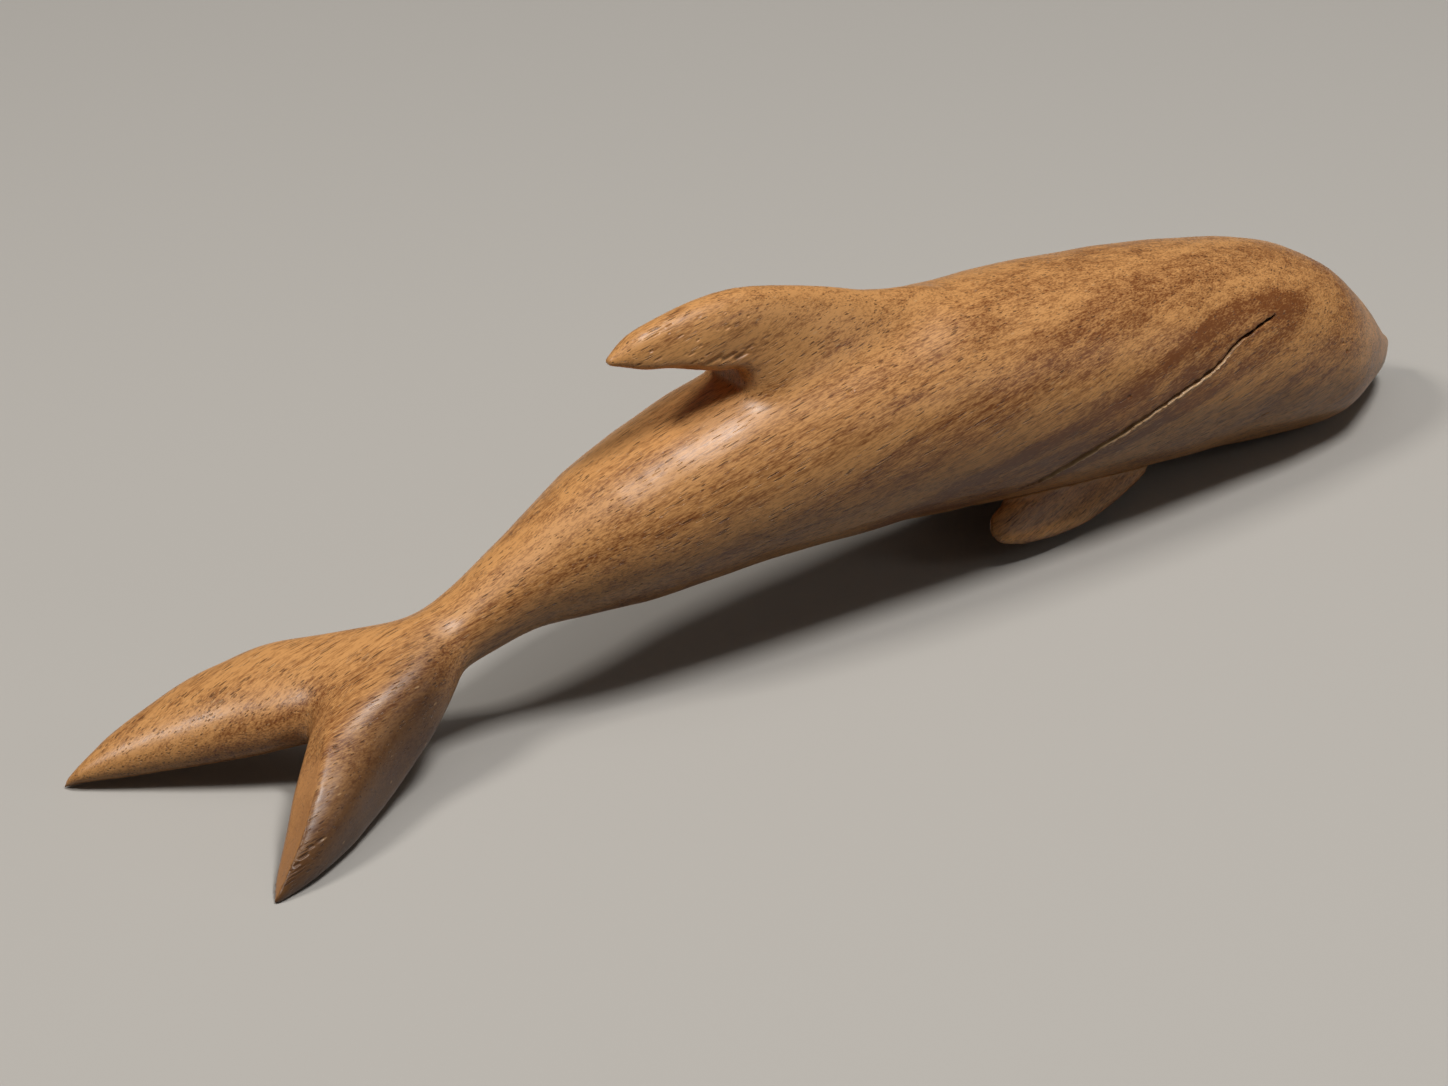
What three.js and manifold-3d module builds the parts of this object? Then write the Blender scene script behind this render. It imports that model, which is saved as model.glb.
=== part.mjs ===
// A hand-carved wooden dolphin that stands on its chin and the two tips of its tail.
// The trunk, dorsal fin and tail flukes are one block of wood. The two flippers are separate
// pieces, each coped to the belly and held by two glued pegs.
// Millimetres, +X towards the snout, +Y to the animal's left, +Z up, origin under the middle.
import * as THREE from "three";
import { mergeVertices } from "three/addons/utils/BufferGeometryUtils.js";
import Module from "manifold-3d";

const wasm = await Module();
wasm.setup();

// Main sizes: the carving from snout to tail, its body at the thickest, and its tail from tip to tip.
const CARVING_LENGTH = 254;
const BODY_THICKNESS = 37.6;
const TAIL_SPAN = 48;

// The same three sizes as the templates below are drawn. The templates stretch from these to the main sizes.
const DRAWN_LENGTH = 254;
const DRAWN_THICKNESS = 37.6;
const DRAWN_SPAN = 48;
const along = (value) => (value * CARVING_LENGTH) / DRAWN_LENGTH;
const thickly = (value) => (value * BODY_THICKNESS) / DRAWN_THICKNESS;
const across = (value) => (value * TAIL_SPAN) / DRAWN_SPAN;

// Templates of the trunk, from the snout to the root of the tail. Each station gives its distance
// behind the station before it, the height of its middle, and its half height and half width.
const STATIONS = {
  snout_tip: { run: 0, middle: 7.3, tall: 0.9, wide: 0.9 },
  nose: { run: 2, middle: 7.2, tall: 2.6, wide: 2.6 },
  snout: { run: 4, middle: 8.4, tall: 5.9, wide: 5.9 },
  forehead: { run: 7, middle: 11.4, tall: 10.7, wide: 10.7 },
  chin: { run: 9, middle: 14.8, tall: 15.2, wide: 15.2 },
  jaw: { run: 12, middle: 17.8, tall: 17.2, wide: 17.2 },
  cheek: { run: 16, middle: 21.0, tall: 18.1, wide: 18.1 },
  shoulder: { run: 18, middle: 23.6, tall: 18.8, wide: 18.8 },
  chest: { run: 22, middle: 26.0, tall: 18.6, wide: 18.6 },
  saddle: { run: 27, middle: 28.2, tall: 17.3, wide: 17.3 },
  loin: { run: 26, middle: 28.1, tall: 15.5, wide: 15.5 },
  rump: { run: 24, middle: 25.4, tall: 12.4, wide: 12.4 },
  tail_stock: { run: 18, middle: 22.0, tall: 7.7, wide: 7.7 },
  tail_waist: { run: 14, middle: 17.5, tall: 5.6, wide: 5.8 },
  tail_root: { run: 9, middle: 14.6, tall: 4.8, wide: 8.6 },
  tail_core: { run: 9, middle: 13.0, tall: 3.0, wide: 4.6 },
};
const TRUNK_RINGS_PER_RUN = 4;
const TRUNK_SIDES = 40;

// Tail: two flukes like leaves, lofted from the middle of the tail to the tip. Each section gives how
// far its leading and trailing edges lie behind the foremost one, out from the middle and up, how thick
// it is, and how blunt its two sides are: 2 is an oval, and more is squarer. They were carved by eye,
// so the left one is longer and flatter, and the right one is thicker and rolled outwards.
const FLUKES_BEHIND_SNOUT = 192;
const FLUKE_MIDDLE = {
  lead: 0, lead_out: 0, lead_up: 19.4, trail: 33.8, trail_out: 0, trail_up: 11,
  thick: 12, trail_blunt: 2.4, lead_blunt: 2,
};
const LEFT_FLUKE = {
  root: {
    lead: 10.4, lead_out: 5.4, lead_up: 16.6, trail: 37, trail_out: 2.4, trail_up: 9.7,
    thick: 11.8, trail_blunt: 2.2, lead_blunt: 2.1,
  },
  shoulder: {
    lead: 20.4, lead_out: 12.2, lead_up: 14.8, trail: 41.6, trail_out: 6, trail_up: 8.2,
    thick: 11.4, trail_blunt: 2.2, lead_blunt: 2.2,
  },
  lower_blade: {
    lead: 29, lead_out: 18.5, lead_up: 13.2, trail: 47.6, trail_out: 10.6, trail_up: 6.3,
    thick: 10.4, trail_blunt: 2.2, lead_blunt: 2.2,
  },
  middle_blade: {
    lead: 38.4, lead_out: 21.9, lead_up: 10.3, trail: 54.6, trail_out: 16.4, trail_up: 4,
    thick: 7.9, trail_blunt: 2.2, lead_blunt: 2.2,
  },
  upper_blade: {
    lead: 47.8, lead_out: 23.6, lead_up: 6.6, trail: 60.4, trail_out: 21.4, trail_up: 2,
    thick: 4.6, trail_blunt: 2.1, lead_blunt: 2.1,
  },
  tip: {
    lead: 61, lead_out: 23.9, lead_up: 0.7, trail: 61.8, trail_out: 23.6, trail_up: 0.4,
    thick: 1.6, trail_blunt: 2, lead_blunt: 2,
  },
};
const RIGHT_FLUKE = {
  root: {
    lead: 7.5, lead_out: 5, lead_up: 16.6, trail: 35.5, trail_out: 2, trail_up: 10.5,
    thick: 12, trail_blunt: 2, lead_blunt: 2.2,
  },
  shoulder: {
    lead: 16.1, lead_out: 9.8, lead_up: 12.5, trail: 38.9, trail_out: 5.2, trail_up: 10.1,
    thick: 12.6, trail_blunt: 2, lead_blunt: 2.6,
  },
  lower_blade: {
    lead: 25.8, lead_out: 13.1, lead_up: 7.5, trail: 43.8, trail_out: 9.8, trail_up: 9.3,
    thick: 12.4, trail_blunt: 2.1, lead_blunt: 2.9,
  },
  middle_blade: {
    lead: 37.1, lead_out: 18.5, lead_up: 5.2, trail: 48.4, trail_out: 14.5, trail_up: 6.9,
    thick: 10.4, trail_blunt: 2.1, lead_blunt: 2.8,
  },
  upper_blade: {
    lead: 47.2, lead_out: 22.5, lead_up: 3.3, trail: 53.1, trail_out: 18.7, trail_up: 3.7,
    thick: 6.6, trail_blunt: 2.1, lead_blunt: 2.4,
  },
  tip: {
    lead: 56.2, lead_out: 23.9, lead_up: 0.7, trail: 57, trail_out: 23.4, trail_up: 0.4,
    thick: 1.6, trail_blunt: 2, lead_blunt: 2,
  },
};
const FLUKE_RINGS = 24;
const FLUKE_SIDES = 28;

// Flats that the knife left along the right fluke's trailing edge. Each leans back from upright by its
// angle, and lies this far in from the edge at the root and at the tip.
const FLUKE_FLATS = {
  strip: { lean: 40, root_inset: -4.4, tip_inset: 0.6 },
  wall: { lean: 14, root_inset: 0.9, tip_inset: -0.3 },
};

// Dorsal fin: sections from the root, sunk in the back, to the tip. Each gives how far its front edge
// lies behind the root's, its chord, how high both edges stand above the back, how thick it is, and
// the share of the chord that lies in front of its thickest place.
const FIN_BEHIND_SNOUT = 86;
const FIN_SECTIONS = {
  sunk_root: { front: -4, chord: 66, front_rise: -7, rear_rise: -14, thick: 26, fullest: 0.66 },
  root: { front: 20, chord: 42, front_rise: 1.3, rear_rise: -4.2, thick: 15, fullest: 0.76 },
  lower_blade: { front: 42, chord: 24.4, front_rise: 8.4, rear_rise: 0.6, thick: 11, fullest: 0.76 },
  middle_blade: { front: 59, chord: 13, front_rise: 12.6, rear_rise: 3.8, thick: 9.6, fullest: 0.8 },
  upper_blade: { front: 76, chord: 3.4, front_rise: 11.4, rear_rise: 5.7, thick: 6, fullest: 0.8 },
  tip: { front: 83.2, chord: 0.4, front_rise: 8.3, rear_rise: 7.1, thick: 1.6, fullest: 0.6 },
};
const FIN_RINGS = 24;
const FIN_SIDES = 24;

// Undercut chiselled behind the fin's root: a square wall, a floor that runs out on the back,
// and a flat ceiling that rises to the tip of the fin. It was cut leaning down to the left.
const UNDERCUT_BEHIND_FIN_FRONT = 60;
const UNDERCUT_FLOOR_DEPTH = 0.2;
const UNDERCUT_WALL_HEIGHT = 3.4;
const UNDERCUT_RUNOUT = 14;
const UNDERCUT_TILT = 1.5;

// Flippers: the middle of the root behind the snout, the angle of the seat below the horizontal,
// the angle at which the blade leaves it, and the blade's plan. Each section gives its step out
// from the one before, how far its middle lies behind the root's middle, and its half length.
const FLIPPER_BEHIND_SNOUT = 78;
const FLIPPER_SEAT_ANGLE = 66;
const FLIPPER_DROOP_ANGLE = 50;
const FLIPPER_SECTIONS = {
  root: { step: 0, behind: 0.4, half: 16, thick: 5 },
  lower_blade: { step: 2, behind: 4.7, half: 16.2, thick: 4.5 },
  middle_blade: { step: 2, behind: 8.1, half: 14.4, thick: 3.9 },
  upper_blade: { step: 1.6, behind: 10.5, half: 11.9, thick: 3.3 },
  brim: { step: 1.3, behind: 12.3, half: 8.7, thick: 2.5 },
  tip: { step: 0.8, behind: 13.8, half: 3.4, thick: 1.2 },
};
const FLIPPER_ROOT_SUNK = 6;
const FLIPPER_RINGS = 15;
const FLIPPER_SIDES = 28;

// Round pegs that hold each flipper, and the film of glue round them and under the flipper.
const PEG_DIAMETER = 2;
const PEG_SPACING = 9;
const PEG_IN_BODY = 7;
const PEG_IN_FLIPPER = 3.5;
const PEG_BEHIND_ROOT_MIDDLE = 4.5;
const PEG_SIDES = 16;
const GLUE_FILM = 0.15;
const SEAT_GAP = 0.3;

// Flats sanded under the chin and the tail tips, where the carving stands.
const REST_FLAT_DEPTH = 0.5;

const WOOD = new THREE.MeshStandardMaterial({ color: 0x8a5a30, roughness: 0.42, metalness: 0 });
const PEG_WOOD = new THREE.MeshStandardMaterial({ color: 0xb98a55, roughness: 0.6, metalness: 0 });

const radians = THREE.MathUtils.degToRad;

// Solids: a closed geometry becomes a manifold for cutting and joining, and comes back.
function solid(geometry) {
  const bare = geometry.clone();
  bare.deleteAttribute("normal");
  bare.deleteAttribute("uv");
  const merged = mergeVertices(bare, 1e-4);
  return new wasm.Manifold(
    new wasm.Mesh({
      numProp: 3,
      vertProperties: new Float32Array(merged.attributes.position.array),
      triVerts: new Uint32Array(merged.index.array),
    }),
  );
}

function geometryOf(manifold) {
  const mesh = manifold.getMesh();
  const geometry = new THREE.BufferGeometry();
  geometry.setAttribute("position", new THREE.BufferAttribute(mesh.vertProperties, 3));
  geometry.setIndex(new THREE.BufferAttribute(mesh.triVerts, 1));
  geometry.computeVertexNormals();
  return geometry;
}

// Skins a row of rings, each with the same number of points, and closes both ends.
function loft(rings) {
  const sides = rings[0].length;
  const positions = rings.flat().flatMap((p) => [p.x, p.y, p.z]);
  const faces = [];
  for (let r = 0; r + 1 < rings.length; r++) {
    for (let s = 0; s < sides; s++) {
      const a = r * sides + s;
      const b = r * sides + ((s + 1) % sides);
      faces.push(a, b, b + sides, a, b + sides, a + sides);
    }
  }
  const last = (rings.length - 1) * sides;
  for (let s = 1; s + 1 < sides; s++) {
    faces.push(0, s + 1, s);
    faces.push(last, last + s, last + s + 1);
  }
  const geometry = new THREE.BufferGeometry();
  geometry.setAttribute("position", new THREE.Float32BufferAttribute(positions, 3));
  geometry.setIndex(faces);
  return geometry;
}

// Trunk: smooth templates through the stations.
const stations = Object.values(STATIONS);
let reach = 0;
const stationPlaces = stations.map((station) => {
  reach += along(station.run);
  return -reach;
});
const sideTemplate = new THREE.CatmullRomCurve3(
  stations.map((s, i) => new THREE.Vector3(stationPlaces[i], thickly(s.middle), thickly(s.tall))),
  false,
  "catmullrom",
);
const planTemplate = new THREE.CatmullRomCurve3(
  stations.map((s, i) => new THREE.Vector3(stationPlaces[i], thickly(s.wide), 0)),
  false,
  "catmullrom",
);

function sectionAtStep(t) {
  const side = sideTemplate.getPoint(t);
  return { x: side.x, middle: side.y, tall: side.z, wide: planTemplate.getPoint(t).y };
}

function sectionBehindSnout(distance) {
  let low = 0;
  let high = 1;
  for (let i = 0; i < 40; i++) {
    const t = (low + high) / 2;
    if (sectionAtStep(t).x > -distance) low = t;
    else high = t;
  }
  return sectionAtStep(low);
}

function trunkPoint(section, angle, grow = 0) {
  return new THREE.Vector3(
    section.x,
    (section.wide + grow) * Math.cos(angle),
    section.middle + (section.tall + grow) * Math.sin(angle),
  );
}

function trunkGeometry(grow = 0) {
  const count = (stations.length - 1) * TRUNK_RINGS_PER_RUN;
  const rings = [];
  for (let i = 0; i <= count; i++) {
    const section = sectionAtStep(i / count);
    const ring = [];
    for (let s = 0; s < TRUNK_SIDES; s++) {
      ring.push(trunkPoint(section, -(2 * Math.PI * s) / TRUNK_SIDES, grow));
    }
    rings.push(ring);
  }
  return loft(rings);
}

// Smooth curves through a list of numbers, read at a step from 0 to 1.
function through(values) {
  const curve = new THREE.CatmullRomCurve3(
    values.map((value) => new THREE.Vector3(value, 0, 0)),
    false,
    "catmullrom",
  );
  return (t) => curve.getPoint(t).x;
}

// Dorsal fin: oval sections between its front and rear edges.
const finFront = along(FIN_BEHIND_SNOUT);
const wallBehind = finFront + along(UNDERCUT_BEHIND_FIN_FRONT);
const finFoot = sectionBehindSnout((finFront + wallBehind) / 2);
const finBase = finFoot.middle + finFoot.tall;
const finSections = Object.values(FIN_SECTIONS).map((s) => ({
  front: along(s.front),
  chord: along(s.chord),
  front_rise: thickly(s.front_rise),
  rear_rise: thickly(s.rear_rise),
  thick: thickly(s.thick),
  fullest: s.fullest,
}));
const finTip = finSections[finSections.length - 1];

function finGeometry() {
  const front = through(finSections.map((s) => s.front));
  const chord = through(finSections.map((s) => s.chord));
  const frontRise = through(finSections.map((s) => s.front_rise));
  const rearRise = through(finSections.map((s) => s.rear_rise));
  const thick = through(finSections.map((s) => s.thick));
  const fullest = through(finSections.map((s) => s.fullest));
  const rings = [];
  for (let r = 0; r <= FIN_RINGS; r++) {
    const t = r / FIN_RINGS;
    const x = -finFront - front(t);
    const a = new THREE.Vector3(x, 0, finBase + frontRise(t));
    const b = new THREE.Vector3(x - chord(t), 0, finBase + rearRise(t));
    const ring = [];
    for (let s = 0; s < FIN_SIDES; s++) {
      const angle = (2 * Math.PI * s) / FIN_SIDES;
      const reach = Math.cos(angle) > 0 ? fullest(t) : 1 - fullest(t);
      const point = a.clone().lerp(b, fullest(t) - reach * Math.cos(angle));
      point.y += (thick(t) / 2) * Math.sin(angle);
      ring.push(point);
    }
    rings.push(ring);
  }
  return loft(rings);
}

// A flat outline drawn on the side of the block, cut straight through it.
function sideCutter(points, width) {
  const outline = new THREE.Shape(points.map(([x, z]) => new THREE.Vector2(x, z)));
  const prism = new THREE.ExtrudeGeometry(outline, { depth: width, bevelEnabled: false });
  prism.translate(0, 0, -width / 2);
  return prism.rotateX(Math.PI / 2);
}

function undercutGeometry() {
  const atWall = sectionBehindSnout(wallBehind);
  const atRunout = sectionBehindSnout(wallBehind + UNDERCUT_RUNOUT);
  const floor = atWall.middle + atWall.tall - UNDERCUT_FLOOR_DEPTH;
  const runout = atRunout.middle + atRunout.tall;
  const floorFall = (floor - runout) / UNDERCUT_RUNOUT;
  const ceiling = floor + UNDERCUT_WALL_HEIGHT;
  const tipBehind = finFront + finTip.front + finTip.chord;
  const ceilingRise = (finBase + finTip.rear_rise - ceiling) / (tipBehind - wallBehind);
  const reach = 2 * (tipBehind - wallBehind);
  const outline = [
    [-wallBehind, floor],
    [-wallBehind, ceiling],
    [-wallBehind - reach, ceiling + ceilingRise * reach],
    [-wallBehind - reach, floor - floorFall * UNDERCUT_RUNOUT + UNDERCUT_WALL_HEIGHT],
    [-wallBehind - UNDERCUT_RUNOUT, runout],
  ];
  const cutter = sideCutter(outline, 4 * finFoot.wide).translate(0, 0, -floor);
  return cutter.rotateX(-radians(UNDERCUT_TILT)).translate(0, 0, floor);
}

// A block whose one face lies on a plane, to pare away all that stands proud of it.
function planeCutter(point, normal, size) {
  const block = new THREE.BoxGeometry(size, size, size);
  block.translate(0, 0, size / 2);
  const turn = new THREE.Quaternion().setFromUnitVectors(new THREE.Vector3(0, 0, 1), normal);
  block.applyQuaternion(turn);
  block.translate(point.x, point.y, point.z);
  return block;
}

// Flukes: one loft from the left tip through the middle of the tail to the right tip.
const flukeSections = {
  left: [FLUKE_MIDDLE, ...Object.values(LEFT_FLUKE)],
  right: [FLUKE_MIDDLE, ...Object.values(RIGHT_FLUKE)],
};
const flukeFront = along(FLUKES_BEHIND_SNOUT);

function flukeSize(t, side, size) {
  return through(flukeSections[side].map((s) => s[size]))(t);
}

function flukeEdge(t, side, edge) {
  const behind = along(flukeSize(t, side, edge));
  const out = across(flukeSize(t, side, `${edge}_out`));
  const up = thickly(flukeSize(t, side, `${edge}_up`));
  return new THREE.Vector3(-flukeFront - behind, side === "left" ? out : -out, up);
}

function flukeRing(t, side) {
  const a = flukeEdge(t, side, "lead");
  const b = flukeEdge(t, side, "trail");
  const half = a.clone().sub(b).multiplyScalar(0.5);
  const thick = thickly(flukeSize(t, side, "thick"));
  const blunt = { lead: flukeSize(t, side, "lead_blunt"), trail: flukeSize(t, side, "trail_blunt") };
  const ring = [];
  for (let s = 0; s < FLUKE_SIDES; s++) {
    const angle = (2 * Math.PI * s) / FLUKE_SIDES;
    const power = 2 / (Math.cos(angle) < 0 ? blunt.trail : blunt.lead);
    const ahead = Math.sign(Math.cos(angle)) * Math.abs(Math.cos(angle)) ** power;
    const rise = Math.sign(Math.sin(angle)) * Math.abs(Math.sin(angle)) ** power;
    const point = a.clone().add(b).multiplyScalar(0.5).addScaledVector(half, ahead);
    point.z += (thick / 2) * rise;
    ring.push(point);
  }
  return ring;
}

function flukesGeometry() {
  const rings = [];
  for (let r = FLUKE_RINGS; r > 0; r--) rings.push(flukeRing(r / FLUKE_RINGS, "left"));
  for (let r = 0; r <= FLUKE_RINGS; r++) rings.push(flukeRing(r / FLUKE_RINGS, "right"));
  return loft(rings);
}

// A flat along the right fluke, pared as far as the middle of the notch.
function flukeFlat({ lean, root_inset, tip_inset }) {
  const outward = new THREE.Vector3(0, 1, 0);
  const start = flukeEdge(0, "right", "trail").addScaledVector(outward, -root_inset);
  const end = flukeEdge(1, "right", "trail").addScaledVector(outward, -tip_inset);
  const edge = end.clone().sub(start).normalize();
  const level = new THREE.Vector3(edge.y, -edge.x, 0).normalize();
  if (level.y < 0) level.negate();
  const upright = new THREE.Vector3().crossVectors(edge, level).normalize();
  if (upright.z < 0) upright.negate();
  const normal = level.multiplyScalar(Math.cos(radians(lean)));
  normal.addScaledVector(upright, Math.sin(radians(lean)));
  const size = 3 * TAIL_SPAN;
  const pared = solid(planeCutter(start, normal, size));
  const right = new THREE.Vector3(0, -1, 0);
  return pared.intersect(solid(planeCutter(flukeEdge(0, "right", "trail"), right, size)));
}

// Flippers: the right one is made here, and the left one is its mirror image.
const flipperSections = Object.values(FLIPPER_SECTIONS).map((s) => ({
  step: thickly(s.step),
  behind: along(s.behind),
  half: along(s.half),
  thick: thickly(s.thick),
}));
const flipperHalf = flipperSections[0].half;

function seatAt(ahead) {
  const section = sectionBehindSnout(along(FLIPPER_BEHIND_SNOUT) - ahead);
  return trunkPoint(section, Math.PI + radians(FLIPPER_SEAT_ANGLE));
}

const seatMiddle = seatAt(0);
const seatDirection = seatAt(flipperHalf).sub(seatAt(-flipperHalf)).normalize();
const spanDirection = new THREE.Vector3(
  0,
  -Math.cos(radians(FLIPPER_DROOP_ANGLE)),
  -Math.sin(radians(FLIPPER_DROOP_ANGLE)),
);
const bladeNormal = new THREE.Vector3().crossVectors(spanDirection, seatDirection).normalize();

function flipperPoint(ahead, out, off) {
  return seatMiddle
    .clone()
    .addScaledVector(seatDirection, ahead)
    .addScaledVector(spanDirection, out)
    .addScaledVector(bladeNormal, off);
}

function flipperGeometry() {
  let reached = 0;
  const outs = flipperSections.map((s) => (reached += s.step));
  const out = through(outs);
  const behind = through(flipperSections.map((s) => s.behind));
  const half = through(flipperSections.map((s) => s.half));
  const thick = through(flipperSections.map((s) => s.thick));
  const ringAt = (t, sunk) => {
    const ring = [];
    for (let s = 0; s < FLIPPER_SIDES; s++) {
      const angle = (2 * Math.PI * s) / FLIPPER_SIDES;
      const ahead = half(t) * Math.cos(angle) - behind(t);
      ring.push(flipperPoint(ahead, out(t) - sunk, (thick(t) / 2) * Math.sin(angle)));
    }
    return ring;
  };
  const rings = [ringAt(0, FLIPPER_ROOT_SUNK)];
  for (let r = 0; r <= FLIPPER_RINGS; r++) rings.push(ringAt(r / FLIPPER_RINGS, 0));
  return loft(rings);
}

function pegPlace(index) {
  return flipperPoint((0.5 - index) * PEG_SPACING - PEG_BEHIND_ROOT_MIDDLE, 0, 0);
}

function pegGeometry(index, film) {
  const length = PEG_IN_BODY + PEG_IN_FLIPPER + 2 * film;
  const rod = new THREE.CylinderGeometry(PEG_DIAMETER / 2 + film, PEG_DIAMETER / 2 + film, length, PEG_SIDES);
  rod.translate(0, (PEG_IN_FLIPPER - PEG_IN_BODY) / 2, 0);
  const turn = new THREE.Quaternion().setFromUnitVectors(new THREE.Vector3(0, 1, 0), spanDirection);
  rod.applyQuaternion(turn);
  const place = pegPlace(index);
  return rod.translate(place.x, place.y, place.z);
}

const mirror = (manifold) => manifold.mirror([0, 1, 0]);

// The carved body with its fin, notch, peg holes and resting flats.
const trunk = solid(trunkGeometry());
let body = trunk.add(solid(finGeometry())).subtract(solid(undercutGeometry()));
body = body.add(solid(flukesGeometry()));
for (const flat of Object.values(FLUKE_FLATS)) body = body.subtract(flukeFlat(flat));
const pegHoles = [0, 1].map((i) => solid(pegGeometry(i, GLUE_FILM)));
for (const hole of pegHoles) body = body.subtract(hole).subtract(mirror(hole));
const shelf = body.boundingBox().min[2] + REST_FLAT_DEPTH;
const shelfMiddle = new THREE.Vector3(-CARVING_LENGTH / 2, 0, shelf);
body = body.subtract(solid(planeCutter(shelfMiddle, new THREE.Vector3(0, 0, -1), 2 * CARVING_LENGTH)));

// A flipper, coped to the belly with a film of glue between.
let flipper = solid(flipperGeometry()).subtract(solid(trunkGeometry(SEAT_GAP)));
for (const hole of pegHoles) flipper = flipper.subtract(hole);

function piece(name, geometry, material) {
  const mesh = new THREE.Mesh(geometry, material);
  mesh.name = name;
  return mesh;
}

const dolphin = new THREE.Group();
const carving = new THREE.Group();
const extent = body.boundingBox();
carving.position.set(-(extent.min[0] + extent.max[0]) / 2, 0, -shelf);
carving.add(piece("carved_body", geometryOf(body), WOOD));
for (const [name, side] of [
  ["right", 1],
  ["left", -1],
]) {
  const half = new THREE.Group();
  half.scale.y = side;
  half.add(piece(`${name}_flipper`, geometryOf(flipper), WOOD));
  ["front", "rear"].forEach((place, i) => {
    half.add(piece(`${name}_flipper_${place}_peg`, pegGeometry(i, 0), PEG_WOOD));
  });
  carving.add(half);
}
dolphin.add(carving);

export default dolphin;
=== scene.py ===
"""A hand-carved wooden dolphin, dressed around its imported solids.

Metres in Blender, millimetres in the tables here. +X is towards the snout, +Y to the animal's left, +Z up.
"""
import math

import bmesh
import bpy
import numpy as np
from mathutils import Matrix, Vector
from mathutils.kdtree import KDTree


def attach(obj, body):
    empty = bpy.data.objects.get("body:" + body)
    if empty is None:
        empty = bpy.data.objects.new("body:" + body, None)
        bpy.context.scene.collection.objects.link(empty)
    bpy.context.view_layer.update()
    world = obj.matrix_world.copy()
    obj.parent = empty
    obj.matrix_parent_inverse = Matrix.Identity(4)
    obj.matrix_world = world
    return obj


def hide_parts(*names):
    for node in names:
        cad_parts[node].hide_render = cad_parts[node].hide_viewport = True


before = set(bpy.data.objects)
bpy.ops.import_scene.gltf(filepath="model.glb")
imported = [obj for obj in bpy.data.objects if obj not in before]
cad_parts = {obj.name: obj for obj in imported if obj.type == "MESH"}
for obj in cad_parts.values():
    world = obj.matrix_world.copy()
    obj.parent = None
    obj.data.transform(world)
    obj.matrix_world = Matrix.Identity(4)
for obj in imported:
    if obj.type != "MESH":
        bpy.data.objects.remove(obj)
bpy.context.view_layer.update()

MM = 0.001
SEED = 7
scene = bpy.context.scene
scene.view_settings.view_transform = "Standard"

# Camera, at the photograph's viewing angle, in millimetres and degrees.
LOOK_AT = (-19.9, 0.0, 15.5)
AZIMUTH, ELEVATION, DISTANCE = -39.3, 27.1, 800.0
LENS, SENSOR_WIDTH = 128.3, 36

# Lamps: place in metres, turn in degrees, width and height in metres, watts and colour.
LAMPS = {
    "overhead": ((0, 0, 1.25), (0, 0, 0), (1.1, 1.1), 1.7, (1.0, 0.97, 0.94)),
    "rear": ((-0.8, 0.2, 1.05), (-11, -38, 0), (0.2, 0.3), 5.4, (1.0, 0.95, 0.88)),
    "front": ((0.16, -0.26, 1.06), (14, 9, 0), (0.15, 0.3), 5.8, (1.0, 0.97, 0.93)),
    "fill": ((0.8, -0.9, 0.55), (63, 0, 42), (0.4, 0.4), 0.6, (1.0, 0.95, 0.9)),
}
WORLD_COLOUR, WORLD_STRENGTH = (1.0, 0.96, 0.9, 1), 0.04
FLOOR_REACH = 6
FLOOR_SEEN = (0.58, 0.565, 0.54, 1)
FLOOR_BOUNCE = (0.08, 0.08, 0.08, 1)

# Wood: the pith of the log runs just under the cracked flank, and the grain with it.
PITH = (85.9, -18.0, 31.0)
GRAIN = (0.975, -0.03, 0.215)
DARK_WOOD = (0.26, 0.087, 0.023, 1)
LIGHT_WOOD = (0.82, 0.41, 0.145, 1)
# Dark of the open pores, also used for painted shade in the crack.
PORE_AND_CRACK_SHADE = (0.07, 0.026, 0.009, 1)
# Pale wood for the crack's lip, partly freshly split and partly painted light, the flippers by the belly,
# and painted glints.
PALE_WOOD_AND_LIGHT = (0.86, 0.55, 0.28, 1)
# Painted shade for a streak on the outside of the right fluke.
FLUKE_SHADE_PAINT = (0.06, 0.02, 0.006, 1)
# Painted light for the knife flat on the right fluke.
FLAT_LIGHT_PAINT = (0.8, 0.38, 0.15, 1)

# How light the wood is at each distance from the pith: growth rings, and painted light far from it.
RING_REACH = 66.0
RING_AND_LIGHT_TONES = (
    (0.0, 0.3), (1.2, 0.1), (1.8, 0.16), (2.6, 0.5), (3.3, 0.18), (4.4, 0.0), (5.4, 0.1), (6.6, 0.6),
    (8.4, 0.76), (10.4, 0.62), (12.4, 0.42), (14.0, 0.48), (15.2, 0.44), (16.5, 0.34), (17.6, 0.5),
    (20.2, 0.82), (22.6, 0.6), (26.0, 0.5), (28.5, 0.68), (31.5, 0.84), (34.0, 0.62), (35.2, 0.78),
    (38.5, 0.9), (41.5, 0.74), (43.0, 0.86), (47.0, 0.9), (50.0, 0.74), (52.0, 0.86), (57.0, 0.88),
    (61.0, 0.74), (66.0, 0.8),
)

# Layers of figure that run along the grain: the share of their length that is kept along it, how many to
# a millimetre, detail and roughness of the noise, its usual spread, and how far it changes the tone.
FIBRE = {"along": 0.14, "scale": 4.6, "detail": 3.0, "rough": 0.62, "spread": 0.22, "swing": 0.42}
STREAK = {"along": 0.1, "scale": 1.3, "detail": 3.0, "rough": 0.6, "spread": 0.22, "swing": 0.25}
BAND = {"along": 0.14, "scale": 0.42, "detail": 2.0, "rough": 0.5, "spread": 0.22, "swing": 0.16}
BLOTCH = {"along": 0.4, "scale": 0.06, "detail": 2.0, "rough": 0.5, "spread": 0.25, "swing": 0.1}

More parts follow.
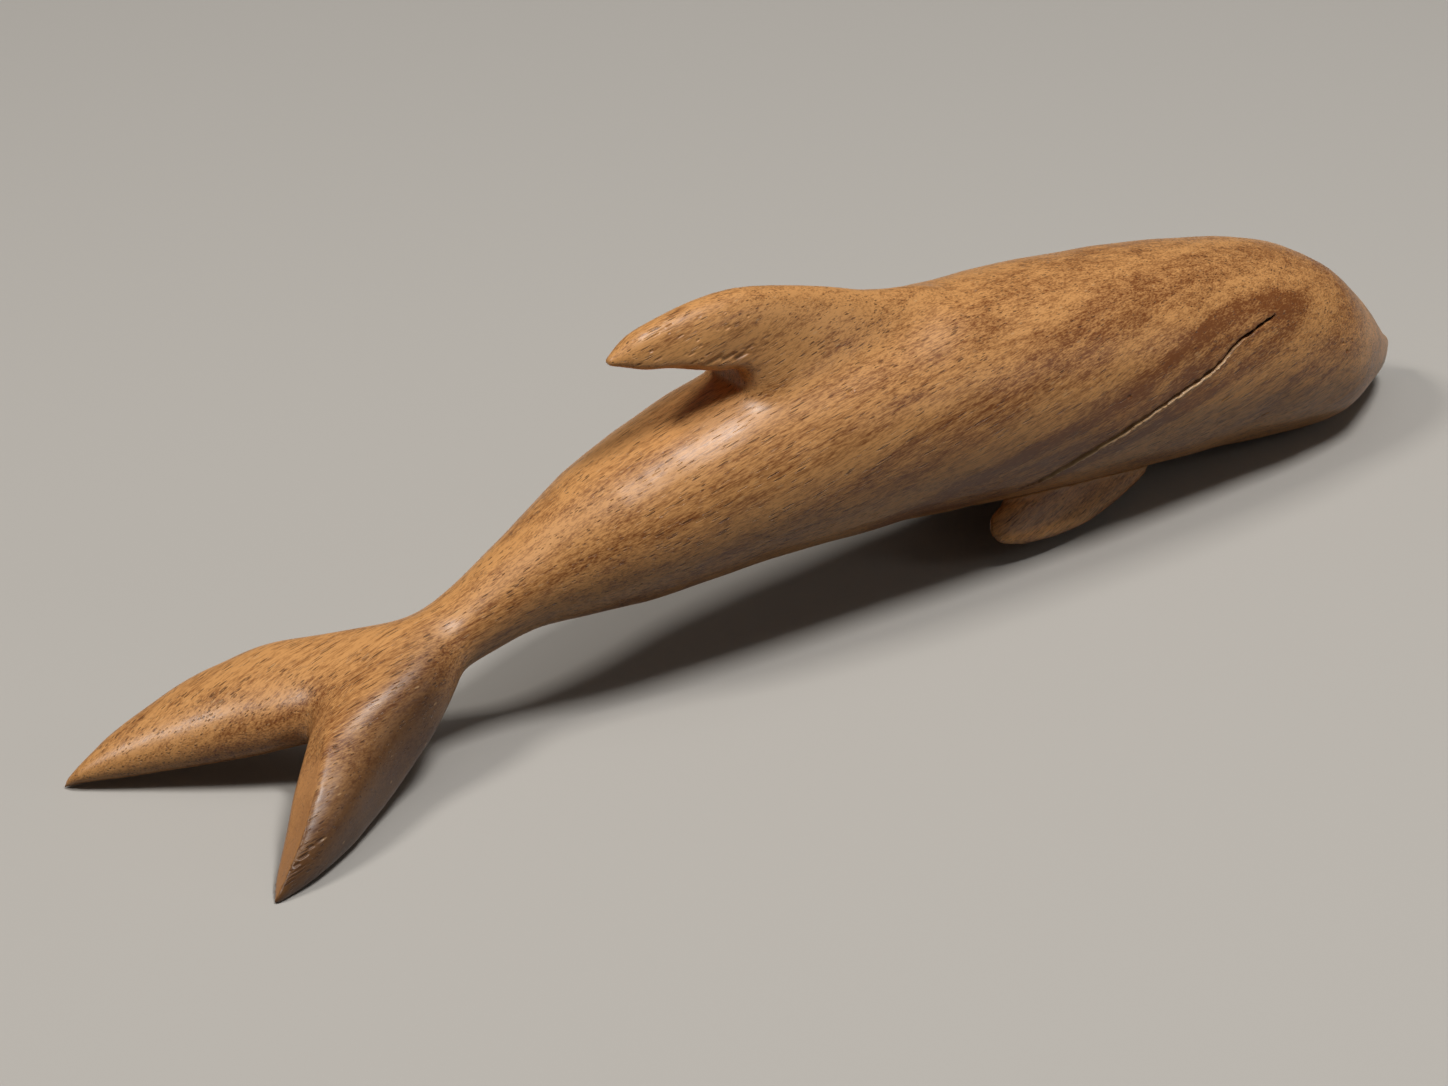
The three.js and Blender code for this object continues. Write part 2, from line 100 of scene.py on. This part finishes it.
# Open pores are short dashes along the grain. Painted glints are pale specks.
PORE_ALONG, PORE_SCALE, PORE_WANDER, PORE_SHARE = 0.07, 3.2, 0.15, 0.7
GLINT_ALONG, GLINT_SCALE, GLINT_SHARE = 0.2, 1.1, 0.4
GLOSSIEST, DULLEST = 0.32, 0.42
SPECULAR = 0.55
FIBRE_HEIGHT, BUMP_STRENGTH, BUMP_DEPTH = 0.13, 0.9, 0.1

# A dark streak of painted shade on the outside of the right fluke: a point on it, where it runs, how far
# it reaches to the side, where it fades along X, and how strong it is.
FLUKE_SHADE_POINT = (-112.0, -23.0, 3.0)
FLUKE_SHADE_RUN = (0.88, 0.377, 0.283)
FLUKE_SHADE_CORE, FLUKE_SHADE_REACH = 2.0, 12.0
FLUKE_SHADE_ENDS, FLUKE_SHADE_FULL = -72.0, -86.0
FLUKE_SHADE_SHARE = 0.84

# The broad flat that the knife left on the right fluke faces this way, and it is painted paler: painted
# light.
FLAT_FACING = (-0.71, 0.35, 0.62)
FLAT_LIGHT_SHARE = 0.52

# How fine the skins are, and how far the flippers stay off the belly.
BODY_VOXEL = 0.4
FLIPPER_VOXEL = 0.3
SEAM_GAP = 0.05

# Zones of the body, as boxes: lowest corner, highest corner, and the width of the soft border.
UNDERCUT = ((-60, -20, 30), (-18, 20, 51), 1.5)
KNIFE_FLATS = ((-130, -26, -5), (-97, 1, 22), 2.0)
# The box that holds the painted light on the knife flat.
LIT_FLAT_ZONE = ((-130, -26, 0), (-106.5, -4, 20), 2.5)
PEG_HOLES = ((26, -12, -1), (64, 12, 18), 2.0)
BESIDE_UNDERCUT = ((-21, -30, 38), (-10, 30, 50), 3.0)
FIN_ROOT = ((-10, -30, 26), (72, 30, 50), 5.0)
FLUKE_ROOTS = ((-100, -20, 3), (-58, 20, 36), 4.0)
FIN_BLADE = ((-42, -12, 49), (-18, 0, 58), 0.1)
FIN_RIGHT_SIDE = ((-42, -12, 49), (-18, -1, 58), 0.1)
BELLY = ((20, -24, -2), (70, 24, 24), 1.0)

# Where the carver left the line of the fin and back off the template: place along it, and how far up.
CREST = (
    (-4, 0), (2, -0.1), (8, -0.36), (14, 0.05), (18, 0.7), (22, 1.1), (26, 0.85), (32, 0.6), (40, 0.4),
    (50, 0.15), (58, 0),
)

# Long, shallow waves from the knife and the sandpaper.
WAVES, WAVE_HEIGHT = 30, 0.02
SHORTEST_WAVE, LONGEST_WAVE = 9, 24

# Drying crack: points along it on the right flank, from the head to the flipper.
CRACK = (
    (84.5, -14.7, 29.4), (79.3, -15.9, 28.9), (74.2, -16.8, 28.2), (69.8, -17.8, 26.6), (66.0, -18.4, 25.5),
    (62.0, -18.6, 24.5), (57.9, -18.8, 23.7), (53.6, -18.7, 22.6), (49.5, -18.6, 21.5), (44.8, -18.0, 20.1),
    (40.4, -17.2, 18.5), (36.9, -16.4, 17.1), (33.8, -15.2, 15.7), (31.2, -14.3, 14.9), (29.3, -13.5, 14.3),
)
CRACK_STEPS = 300
CRACK_HALF_WIDTH = 0.34
CRACK_DEPTH = 1.8
CRACK_REACH = 1.8
# Along its length: how much wider it is, and how pale its lower lip.
CRACK_SWELL = ((0, 0.5), (0.06, 0.9), (0.3, 1.0), (0.5, 1.15), (0.7, 1.5), (0.9, 1.7), (1, 0.8))
CRACK_PALE = ((0, 0), (0.1, 0.15), (0.2, 0.5), (0.3, 1.0), (0.65, 0.9), (0.85, 0.6), (0.88, 0.15), (1, 0.1))
LIP_WIDTH, LIP_HEIGHT = 0.3, 0.1
# How dark and how wide the painted shade above the crack is.
CRACK_SHADE_SHARE, CRACK_SHADE_WIDTH = 0.55, 0.45

# Dents where the knife tore the wood: place, half length along the grain, half width and depth.
DENTS = (
    ((-25.8, -5.0, 50.2), 1.8, 0.5, 0.34),
    ((-23.1, -5.1, 50.0), 1.4, 0.42, 0.3),
    ((-20.7, -5.2, 49.6), 1.6, 0.4, 0.34),
    ((-19.0, -5.1, 50.5), 0.9, 0.3, 0.2),
    ((-112.1, -21.6, 6.2), 0.8, 0.22, 0.18),
    ((-113.9, -21.8, 5.9), 0.6, 0.24, 0.2),
    ((-115.5, -22.2, 5.1), 0.9, 0.22, 0.2),
    ((-116.9, -22.5, 4.4), 0.6, 0.24, 0.18),
    ((99.6, -15.8, 20.2), 0.3, 0.26, 0.26),
    ((100.4, -16.0, 18.6), 0.34, 0.26, 0.26),
    ((102.3, -15.2, 19.8), 0.3, 0.24, 0.22),
    ((81.5, -16.3, 12.8), 0.9, 0.22, 0.16),
    ((70.0, -18.3, 19.8), 0.8, 0.22, 0.16),
    ((-3.7, -10.9, 40.7), 0.6, 0.24, 0.2),
    ((28.6, -2.7, 44.8), 0.6, 0.24, 0.18),
    ((48.2, -18.7, 26.9), 0.4, 0.26, 0.2),
)
TORN_SPOTS = 26
TORN_DARKNESS = 0.22


# Masks and curves.
def smoothstep(low, high, value):
    t = np.clip((value - low) / (high - low), 0, 1)
    return t * t * (3 - 2 * t)


def box_mask(points, low, high, soft):
    """1 inside a box, fading to 0 over a soft border."""
    mask = np.ones(len(points))
    for i in range(3):
        mask *= smoothstep(low[i] - soft, low[i], points[:, i])
        mask *= 1 - smoothstep(high[i], high[i] + soft, points[:, i])
    return mask


def from_table(table, value):
    return np.interp(value, *zip(*table))


def spread(path, count):
    """A smooth row of points through a path."""
    path = np.array(path, float)
    ends = np.vstack((2 * path[0] - path[1], path, 2 * path[-1] - path[-2]))
    rows = []
    for step in np.linspace(0, len(path) - 1, count):
        i = min(int(step), len(path) - 2)
        t = step - i
        p0, p1, p2, p3 = ends[i : i + 4]
        square = 2 * p0 - 5 * p1 + 4 * p2 - p3
        cube = 3 * p1 - p0 - 3 * p2 + p3
        rows.append(0.5 * (2 * p1 + (p2 - p0) * t + square * t * t + cube * t**3))
    return np.array(rows)


def nearest_on(path, points):
    """Index of the nearest path point, and the distance to it."""
    index = np.zeros(len(points), int)
    best = np.full(len(points), 1e9)
    for i, place in enumerate(path):
        distance = ((points - place) ** 2).sum(1)
        closer = distance < best
        index[closer] = i
        best[closer] = distance[closer]
    return index, np.sqrt(best)


# Meshes: an even skin of small faces is laid over a solid, then worked as arrays in millimetres.
def even_skin(node, voxel):
    work = bpy.data.objects.new("work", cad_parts[node].data.copy())
    scene.collection.objects.link(work)
    remesh = work.modifiers.new("even", "REMESH")
    remesh.mode = "VOXEL"
    remesh.voxel_size = voxel * MM
    bpy.context.view_layer.update()
    mesh = bpy.data.meshes.new_from_object(work.evaluated_get(bpy.context.evaluated_depsgraph_get()))
    bpy.data.objects.remove(work)
    return mesh


def points_of(mesh):
    flat = np.empty(3 * len(mesh.vertices), np.float32)
    mesh.vertices.foreach_get("co", flat)
    return flat.reshape(-1, 3).astype(float) / MM


def put_points(mesh, points):
    mesh.vertices.foreach_set("co", (points * MM).astype(np.float32).ravel())
    mesh.update()


def edges_of(mesh):
    flat = np.empty(2 * len(mesh.edges), np.int32)
    mesh.edges.foreach_get("vertices", flat)
    return flat.reshape(-1, 2)


def normals_of(mesh):
    flat = np.empty(3 * len(mesh.vertices), np.float32)
    mesh.vertex_normals.foreach_get("vector", flat)
    return flat.reshape(-1, 3).astype(float)


def neighbour_mean(values, edges):
    a, b = edges.T
    size = len(values)
    count = np.bincount(a, minlength=size) + np.bincount(b, minlength=size)
    columns = values.reshape(size, -1)
    total = [
        np.bincount(a, columns[b, i], size) + np.bincount(b, columns[a, i], size)
        for i in range(columns.shape[1])
    ]
    return (np.stack(total, 1) / np.maximum(count, 1)[:, None]).reshape(values.shape)


def relaxed(points, edges, weight, rounds, keep_volume=True, fill=None):
    """Evens out the points that have weight. With keep_volume each shrinking step is followed by a
    swelling one. With fill, a set of normals, points only move outwards, which fills hollows."""
    moving = weight > 0.002
    some = edges[moving[edges[:, 0]] | moving[edges[:, 1]]]
    used = np.unique(some)
    place = np.zeros(len(points), int)
    place[used] = np.arange(len(used))
    some = place[some]
    local = points[used]
    share = weight[used][:, None]
    for _ in range(rounds):
        for step in (0.5, -0.51) if keep_volume else (0.5,):
            move = neighbour_mean(local, some) - local
            if fill is not None:
                move = fill[used] * np.maximum((move * fill[used]).sum(1), 0)[:, None]
            local = local + step * share * move
    result = points.copy()
    result[used] = local
    return result


def blended(points, edges, weight, fill, fill_rounds, rounds):
    """Fills the hollows where there is weight, then smooths the same place."""
    points = relaxed(points, edges, weight, fill_rounds, keep_volume=False, fill=fill)
    return relaxed(points, edges, weight, rounds, keep_volume=False)


def blurred(values, edges, rounds):
    for _ in range(rounds):
        values = 0.5 * values + 0.5 * neighbour_mean(values, edges)
    return values


def finer(mesh, chosen):
    """Halves the edges whose two ends are both chosen."""
    work = bmesh.new()
    work.from_mesh(mesh)
    work.verts.ensure_lookup_table()
    edges = [e for e in work.edges if chosen[e.verts[0].index] and chosen[e.verts[1].index]]
    bmesh.ops.subdivide_edges(work, edges=edges, cuts=1, use_grid_fill=True)
    bmesh.ops.triangulate(work, faces=[f for f in work.faces if len(f.verts) > 4])
    work.to_mesh(mesh)
    work.free()
    mesh.update()


def make_piece(name, mesh, node, material):
    mesh.name = name
    mesh.materials.clear()
    mesh.materials.append(material)
    mesh.polygons.foreach_set("use_smooth", np.ones(len(mesh.polygons), bool))
    piece = bpy.data.objects.new(name, mesh)
    scene.collection.objects.link(piece)
    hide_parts(node)
    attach(piece, "root")


def set_attribute(mesh, name, values):
    attribute = mesh.attributes.new(name, "FLOAT", "POINT")
    attribute.data.foreach_set("value", values.astype(np.float32))


# Materials.
class Graph:
    def __init__(self, name):
        self.material = bpy.data.materials.new(name)
        self.material.use_nodes = True
        self.tree = self.material.node_tree
        self.shader = self.tree.nodes["Principled BSDF"]

    def put(self, value, socket):
        if isinstance(value, bpy.types.NodeSocket):
            self.tree.links.new(value, socket)
        else:
            socket.default_value = value

    def node(self, kind, *inputs, **settings):
        made = self.tree.nodes.new("ShaderNode" + kind)
        for key, value in settings.items():
            setattr(made, key, value)
        for socket, value in zip(made.inputs, inputs):
            self.put(value, socket)
        return made

    def math(self, operation, a, b):
        return self.node("Math", a, b, operation=operation).outputs[0]

    def vector(self, operation, a, b=(0.0, 0.0, 0.0)):
        made = self.node("VectorMath", a, operation=operation)
        if operation == "SCALE":
            self.put(b, made.inputs["Scale"])
        else:
            self.put(b, made.inputs[1])
        return made.outputs["Value"] if operation in ("DOT_PRODUCT", "LENGTH") else made.outputs["Vector"]

    def noise(self, place, scale, detail=2.0, roughness=0.5):
        made = self.node("TexNoise")
        self.put(place, made.inputs["Vector"])
        self.put(scale, made.inputs["Scale"])
        self.put(detail, made.inputs["Detail"])
        self.put(roughness, made.inputs["Roughness"])
        return made.outputs["Fac"]

    def cells(self, place, scale):
        """Distance to the nearest cell's centre, and three chances that are fixed within a cell."""
        made = self.node("TexVoronoi")
        self.put(place, made.inputs["Vector"])
        self.put(scale, made.inputs["Scale"])
        return made.outputs["Distance"], self.node("SeparateColor", made.outputs["Color"]).outputs

    def ramp(self, value, stops):
        made = self.node("ValToRGB", value)
        elements = made.color_ramp.elements
        while len(elements) < len(stops):
            elements.new(0.5)
        for element, (place, tone) in zip(elements, stops):
            element.position = place
            element.color = (tone, tone, tone, 1)
        return made.outputs["Color"]

    def between(self, value, low, high, to_low=0.0, to_high=1.0):
        made = self.node("MapRange", value, low, high, to_low, to_high, interpolation_type="SMOOTHSTEP")
        return made.outputs["Result"]

    def mix(self, share, a, b):
        made = self.node("Mix", data_type="RGBA")
        self.put(share, made.inputs[0])
        self.put(a, made.inputs[6])
        self.put(b, made.inputs[7])
        return made.outputs[2]

    def attribute(self, name):
        return self.node("Attribute", attribute_name=name).outputs["Fac"]


def wood(name, pith, grain, shade, with_marks):
    """Solid wood about a pith, darker by painted shade. With marks it reads the mesh's crack shade, lip
    and painted flat light, and paints shade on the right fluke.
    """
    g = Graph(name)
    grain = tuple(Vector(grain).normalized())
    place = g.vector("SCALE", g.node("TexCoord").outputs["Object"], 1 / MM)
    out = g.vector("SUBTRACT", place, pith)
    along = g.vector("DOT_PRODUCT", out, grain)
    axis = g.vector("SCALE", grain, along)
    across = g.vector("SUBTRACT", out, axis)

    def stretched(share):
        return g.vector("ADD", across, g.vector("SCALE", axis, share))

    # Growth rings, a little out of true, with painted light that lightens the wood far from the pith.
    waver = g.noise(stretched(0.3), 0.045, 3.0)
    radius = g.math("MULTIPLY", g.vector("LENGTH", across), g.between(waver, 0.2, 0.8, 0.9, 1.1))
    ring_and_light = g.ramp(g.math("DIVIDE", radius, RING_REACH), [(r / RING_REACH, tone) for r, tone in RING_AND_LIGHT_TONES])

    # Figure along the grain, from fine fibres to slow blotches.
    tone = g.math("SUBTRACT", ring_and_light, shade)
    figure = []
    for layer in (FIBRE, STREAK, BAND, BLOTCH):
        noise = g.noise(stretched(layer["along"]), layer["scale"], layer["detail"], layer["rough"])
        swing, width = layer["swing"], layer["spread"]
        tone = g.math("ADD", tone, g.between(noise, 0.5 - width, 0.5 + width, -swing, swing))
        figure.append(noise)
    fibre, streak = figure[:2]
    colour = g.mix(tone, DARK_WOOD, LIGHT_WOOD)
    if with_marks:
        # Painted shade: a dark streak on the outside of the right fluke.
        off = g.vector("SUBTRACT", place, FLUKE_SHADE_POINT)
        run = g.vector("SCALE", FLUKE_SHADE_RUN, g.vector("DOT_PRODUCT", off, FLUKE_SHADE_RUN))
        aside = g.vector("LENGTH", g.vector("SUBTRACT", off, run))
        painted_fluke_shade = g.between(aside, FLUKE_SHADE_CORE, FLUKE_SHADE_REACH, FLUKE_SHADE_SHARE, 0.0)
        x = g.node("SeparateXYZ", place).outputs[0]
        painted_fluke_shade = g.math("MULTIPLY", painted_fluke_shade, g.between(x, FLUKE_SHADE_ENDS, FLUKE_SHADE_FULL))
        colour = g.mix(painted_fluke_shade, colour, FLUKE_SHADE_PAINT)

    # Pores, larger in some zones, and each one differently dark.
    drift = g.node("TexNoise", stretched(0.2)).outputs["Color"]
    wander = g.vector("ADD", stretched(PORE_ALONG), g.vector("SCALE", drift, PORE_WANDER))
    near, chance = g.cells(wander, PORE_SCALE)
    zone = g.noise(stretched(0.3), 0.07)
    size = g.math("MULTIPLY", chance[0], g.between(zone, 0.3, 0.7, 0.32, 0.5))
    pore = g.between(g.math("SUBTRACT", near, size), -0.1, 0.06, 1.0, 0.0)
    pore = g.math("MULTIPLY", pore, g.between(chance[1], 0.0, 1.0, 0.15, 1.0))
    colour = g.mix(g.math("MULTIPLY", pore, PORE_SHARE), colour, PORE_AND_CRACK_SHADE)

    # Painted glints: pale specks in a fifth of the cells.
    near, chance = g.cells(stretched(GLINT_ALONG), GLINT_SCALE)
    painted_glint = g.math("MULTIPLY", g.between(near, 0.1, 0.2, 1.0, 0.0), g.between(chance[1], 0.8, 0.82))
    colour = g.mix(g.math("MULTIPLY", painted_glint, GLINT_SHARE), colour, PALE_WOOD_AND_LIGHT)

    roughness = g.between(streak, 0.2, 0.8, GLOSSIEST, DULLEST)
    if with_marks:
        # Painted light on the knife flat of the right fluke.
        colour = g.mix(g.math("MULTIPLY", g.attribute("painted_flat_light"), FLAT_LIGHT_SHARE), colour, FLAT_LIGHT_PAINT)
        # The crack's pale lip, partly freshly split wood and partly painted light, and the flippers paler
        # by the belly.
        colour = g.mix(g.attribute("lip"), colour, PALE_WOOD_AND_LIGHT)
        # Painted shade in and above the crack, and the darker torn dents.
        colour = g.mix(g.attribute("crack"), colour, PORE_AND_CRACK_SHADE)
        roughness = g.math("ADD", roughness, g.math("MULTIPLY", g.attribute("crack"), 0.4))
    bump = g.node("Bump")
    g.put(BUMP_STRENGTH, bump.inputs["Strength"])
    g.put(BUMP_DEPTH * MM, bump.inputs["Distance"])
    g.put(g.math("SUBTRACT", g.math("MULTIPLY", fibre, FIBRE_HEIGHT), pore), bump.inputs["Height"])
    g.put(colour, g.shader.inputs["Base Color"])
    g.put(roughness, g.shader.inputs["Roughness"])
    g.put(bump.outputs["Normal"], g.shader.inputs["Normal"])
    g.put(SPECULAR, g.shader.inputs["Specular IOR Level"])
    return g.material


body_wood = wood("carved_wood", PITH, GRAIN, 0.0, True)
# The flippers are darker by painted shade, for the shade they stand in under the belly.
right_wood = wood("right_flipper_wood", (40.0, 30.0, 25.0), (0.95, 0.1, 0.28), 0.25, True)
left_wood = wood("left_flipper_wood", (60.0, -34.0, 20.0), (0.95, -0.12, 0.3), 0.25, True)
peg_wood = wood("peg_wood", (44.0, 20.0, 60.0), (0.0, 0.5, 0.86), 0.0, False)

# Carved body.
rng = np.random.default_rng(SEED)
body = even_skin("carved_body", BODY_VOXEL)
points = points_of(body)
edges = edges_of(body)
points = relaxed(points, edges, np.ones(len(points)), 6)
put_points(body, points)
normals = normals_of(body)
bend = ((neighbour_mean(points, edges) - points) * normals).sum(1) / BODY_VOXEL

# Edges that the chisel left: the undercut behind the fin and the right fluke's flats.
undercut = box_mask(points, *UNDERCUT)
crisp = smoothstep(0.07, 0.15, np.abs(bend)) * np.maximum(undercut, box_mask(points, *KNIFE_FLATS))
crisp = np.clip(blurred(crisp, edges, 3) * 1.6, 0, 1)
holes = box_mask(points, *PEG_HOLES)

# The fin's line was carved by eye.
lift = from_table(CREST, points[:, 0]) * (1 - smoothstep(5, 15, np.abs(points[:, 1])))
points[:, 2] += lift * smoothstep(32, 40, points[:, 2])

# The fin's root runs smoothly into the back beside the undercut, and the flukes into the tail.
soft_normals = blurred(normals, edges, 20)
soft_normals /= np.linalg.norm(soft_normals, axis=1, keepdims=True)
beside = smoothstep(2.2, 4.4, np.abs(points[:, 1])) * box_mask(points, *BESIDE_UNDERCUT)
root = np.maximum(box_mask(points, *FIN_ROOT) * (1 - undercut), beside)
points = blended(points, edges, root, soft_normals, 200, 60)
crisp *= 1 - beside
crotch = box_mask(points, *FLUKE_ROOTS) * (1 - crisp)
points = blended(points, edges, crotch, soft_normals, 1500, 50)

# The rest is sanded smooth. The thin tips of flukes, fin and snout only lose their corners.
tips = smoothstep(-119, -122, points[:, 0])
tips = np.maximum(tips, smoothstep(-36, -40, points[:, 0]) * (points[:, 2] > 50))
tips = np.maximum(tips, smoothstep(119, 122, points[:, 0]))
points = relaxed(points, edges, (1 - np.maximum(crisp * 0.95, holes)) * (1 - tips), 45)
points = relaxed(points, edges, tips, 10, keep_volume=False)

# Waves.
wave = np.zeros(len(points))
for _ in range(WAVES):
    heading = rng.normal(size=3) * (0.8, 1.0, 1.0)
    heading *= 2 * np.pi / rng.uniform(SHORTEST_WAVE, LONGEST_WAVE) / np.linalg.norm(heading)
    wave += np.sin(points @ heading + rng.uniform(0, 6.3))
wave *= WAVE_HEIGHT * (1 - holes) * smoothstep(0.5, 4, points[:, 2]) * (1 - tips) * (1 - crisp)
put_points(body, points)
points = points + normals_of(body) * wave[:, None]
put_points(body, points)

# Finer faces round the crack, the dents and the torn side of the fin.
course = spread(CRACK, CRACK_STEPS)


def near_crack(points):
    return box_mask(points, course.min(0) - 4, course.max(0) + 4, 0.1) > 0.5


def near_marks(points, reach):
    chosen = box_mask(points, *FIN_BLADE) > 0.5
    for place, length, _, _ in DENTS:
        chosen |= ((points - place) ** 2).sum(1) < (length + reach) ** 2
    close = near_crack(points)
    chosen[close] |= nearest_on(course, points[close])[1] < reach + 0.8
    return chosen


finer(body, near_marks(points, 1.6))
finer(body, near_marks(points_of(body), 0.8))
points = points_of(body)
normals = normals_of(body)

# Dents, and small torn spots strewn over the right side of the fin.
dents = list(DENTS)
fin_side = np.flatnonzero(box_mask(points, *FIN_RIGHT_SIDE) > 0.5)
for spot in points[rng.choice(fin_side, TORN_SPOTS)]:
    dents.append((spot, rng.uniform(0.25, 0.8), rng.uniform(0.1, 0.22), rng.uniform(0.05, 0.14)))
grain = np.array(GRAIN) / np.linalg.norm(GRAIN)
torn = np.zeros(len(points))
for place, length, width, depth in dents:
    out = points - place
    close = (out**2).sum(1) < (3 * length) ** 2
    out, facing = out[close], normals[close]
    out = out - facing * (out * facing).sum(1)[:, None]
    along = out @ grain
    across = np.linalg.norm(out - along[:, None] * grain, axis=1)
    hollow = np.exp(-((along / length) ** 4) - (across / width) ** 4)
    points[close] -= facing * (depth * hollow)[:, None]
    torn[close] = np.maximum(torn[close], hollow)


# Crack, with a pale, splintered lower lip, partly freshly split wood and partly painted light,
# and painted shade in it and above it.
def uneven(every, low, high):
    """A value for each step of the crack that wanders at random."""
    knots = np.arange(0, CRACK_STEPS, every)
    return np.interp(np.arange(CRACK_STEPS), knots, rng.uniform(low, high, len(knots)))


close = near_crack(points)
spots, facing = points[close], normals[close]
index, distance = nearest_on(course, spots)
tangent = np.gradient(course, axis=0)
tangent /= np.linalg.norm(tangent, axis=1, keepdims=True)
upward = np.cross(facing, tangent[index])
upward *= np.sign(upward[:, 2:3])
jog = uneven(5, -0.14, 0.14)
ragged = uneven(4, 0.75, 1.25)
splinter = uneven(3, 0.1, 1.9)
side = ((spots - course[index]) * upward).sum(1) + jog[index]
share = index / (CRACK_STEPS - 1)
swell = from_table(CRACK_SWELL, share)
pale = from_table(CRACK_PALE, share)
width = CRACK_HALF_WIDTH * swell * ragged[index]
on = (distance < CRACK_REACH) & (share > 0) & (share < 1)
deep = np.sqrt(np.clip(1 - (side / width) ** 2, 0, 1)) * on
rim = width + LIP_WIDTH * pale * swell * splinter[index]
lip = smoothstep(-rim, -rim + 0.1, side) * (side < 0) * on * np.minimum(1, 2 * pale) * (1 - deep)
points[close] = spots - facing * (CRACK_DEPTH * deep * np.minimum(swell, 1) - LIP_HEIGHT * lip)[:, None]
put_points(body, points)

# What the wood reads from the mesh: painted shade in and above the crack with the darker torn dents,
# the pale lip, and painted light on the knife flat.
lower = smoothstep(-0.5, -0.85, side / width) * pale
# Painted shade in the crack's groove and along its upper side.
painted_crack_shade = np.exp(-((np.maximum(side - width, 0) / CRACK_SHADE_WIDTH) ** 2)) * (side > 0) * on
dark = TORN_DARKNESS * torn
dark[close] = np.maximum(dark[close], np.maximum(deep * (1 - lower), CRACK_SHADE_SHARE * swell * painted_crack_shade))
# The crack's lip and the lower wall of its groove are pale: freshly split wood, and painted light.
bare_and_lit = np.zeros(len(points))
bare_and_lit[close] = np.maximum(lip, deep * lower)
# Painted light: the knife flat, picked by the way it faces, is painted paler.
painted_flat_light = smoothstep(0.93, 0.985, normals @ np.array(FLAT_FACING)) * box_mask(points, *LIT_FLAT_ZONE)
set_attribute(body, "crack", dark)
set_attribute(body, "painted_flat_light", painted_flat_light)
set_attribute(body, "lip", bare_and_lit)
make_piece("body_carving", body, "carved_body", body_wood)

# Flippers, fitted close to the belly, and painted paler where they lie close to it.
belly = points[box_mask(points, *BELLY) > 0.5]
tree = KDTree(len(belly))
for i, spot in enumerate(belly):
    tree.insert(spot, i)
tree.balance()
for side_name, material in (("right", right_wood), ("left", left_wood)):
    node = side_name + "_flipper"
    flipper = even_skin(node, FLIPPER_VOXEL)
    points = points_of(flipper)
    points = relaxed(points, edges_of(flipper), np.ones(len(points)), 10)
    found = [tree.find(spot) for spot in points]
    gap = np.array([item[2] for item in found])
    towards = np.array([item[0][:] for item in found]) - points
    towards /= np.maximum(gap, 1e-6)[:, None]
    fitted = 1 - smoothstep(0.5, 1.1, gap)
    points = points + towards * (fitted * np.maximum(gap - SEAM_GAP, 0))[:, None]
    put_points(flipper, points)
    # The flipper is painted paler where it lies close to the belly.
    set_attribute(flipper, "lip", 1 - smoothstep(0.55, 1.0, gap))
    make_piece(side_name + "_flipper_carving", flipper, node, material)
    for place in ("front", "rear"):
        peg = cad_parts["%s_flipper_%s_peg" % (side_name, place)]
        peg.data.materials.clear()
        peg.data.materials.append(peg_wood)

# Studio: a pale floor that throws little light back, soft lamps and a dim world.
corners = [(-FLOOR_REACH, -FLOOR_REACH, 0), (FLOOR_REACH, -FLOOR_REACH, 0)]
corners += [(FLOOR_REACH, FLOOR_REACH, 0), (-FLOOR_REACH, FLOOR_REACH, 0)]
floor_mesh = bpy.data.meshes.new("floor")
floor_mesh.from_pydata(corners, [], [(0, 1, 2, 3)])
floor = bpy.data.objects.new("floor", floor_mesh)
scene.collection.objects.link(floor)
paint = Graph("pale_floor")
seen = paint.node("LightPath").outputs
shows = paint.math("MAXIMUM", seen["Is Camera Ray"], seen["Is Glossy Ray"])
shows = paint.math("MAXIMUM", shows, seen["Is Transmission Ray"])
paint.put(paint.mix(shows, FLOOR_BOUNCE, FLOOR_SEEN), paint.shader.inputs["Base Color"])
paint.put(0.8, paint.shader.inputs["Roughness"])
paint.put(0.2, paint.shader.inputs["Specular IOR Level"])
floor_mesh.materials.append(paint.material)

for name, (place, turn, size, watts, colour) in LAMPS.items():
    light = bpy.data.lights.new(name, "AREA")
    light.shape = "RECTANGLE"
    light.size, light.size_y = size
    light.energy = watts
    light.color = colour
    lamp = bpy.data.objects.new(name, light)
    lamp.location = place
    lamp.rotation_euler = [math.radians(angle) for angle in turn]
    scene.collection.objects.link(lamp)

world = bpy.data.worlds.new("studio")
world.use_nodes = True
sky = world.node_tree.nodes["Background"].inputs
sky["Color"].default_value = WORLD_COLOUR
sky["Strength"].default_value = WORLD_STRENGTH
scene.world = world

azimuth, elevation = math.radians(AZIMUTH), math.radians(ELEVATION)
level = math.cos(elevation)
back = Vector((math.sin(azimuth) * level, -math.cos(azimuth) * level, math.sin(elevation)))
camera_data = bpy.data.cameras.new("camera")
camera_data.lens = LENS
camera_data.sensor_width = SENSOR_WIDTH
camera_data.clip_start, camera_data.clip_end = 0.05, 50
camera = bpy.data.objects.new("camera", camera_data)
camera.location = (Vector(LOOK_AT) + back * DISTANCE) * MM
camera.rotation_euler = (-back).to_track_quat("-Z", "Y").to_euler()
scene.collection.objects.link(camera)
scene.camera = camera
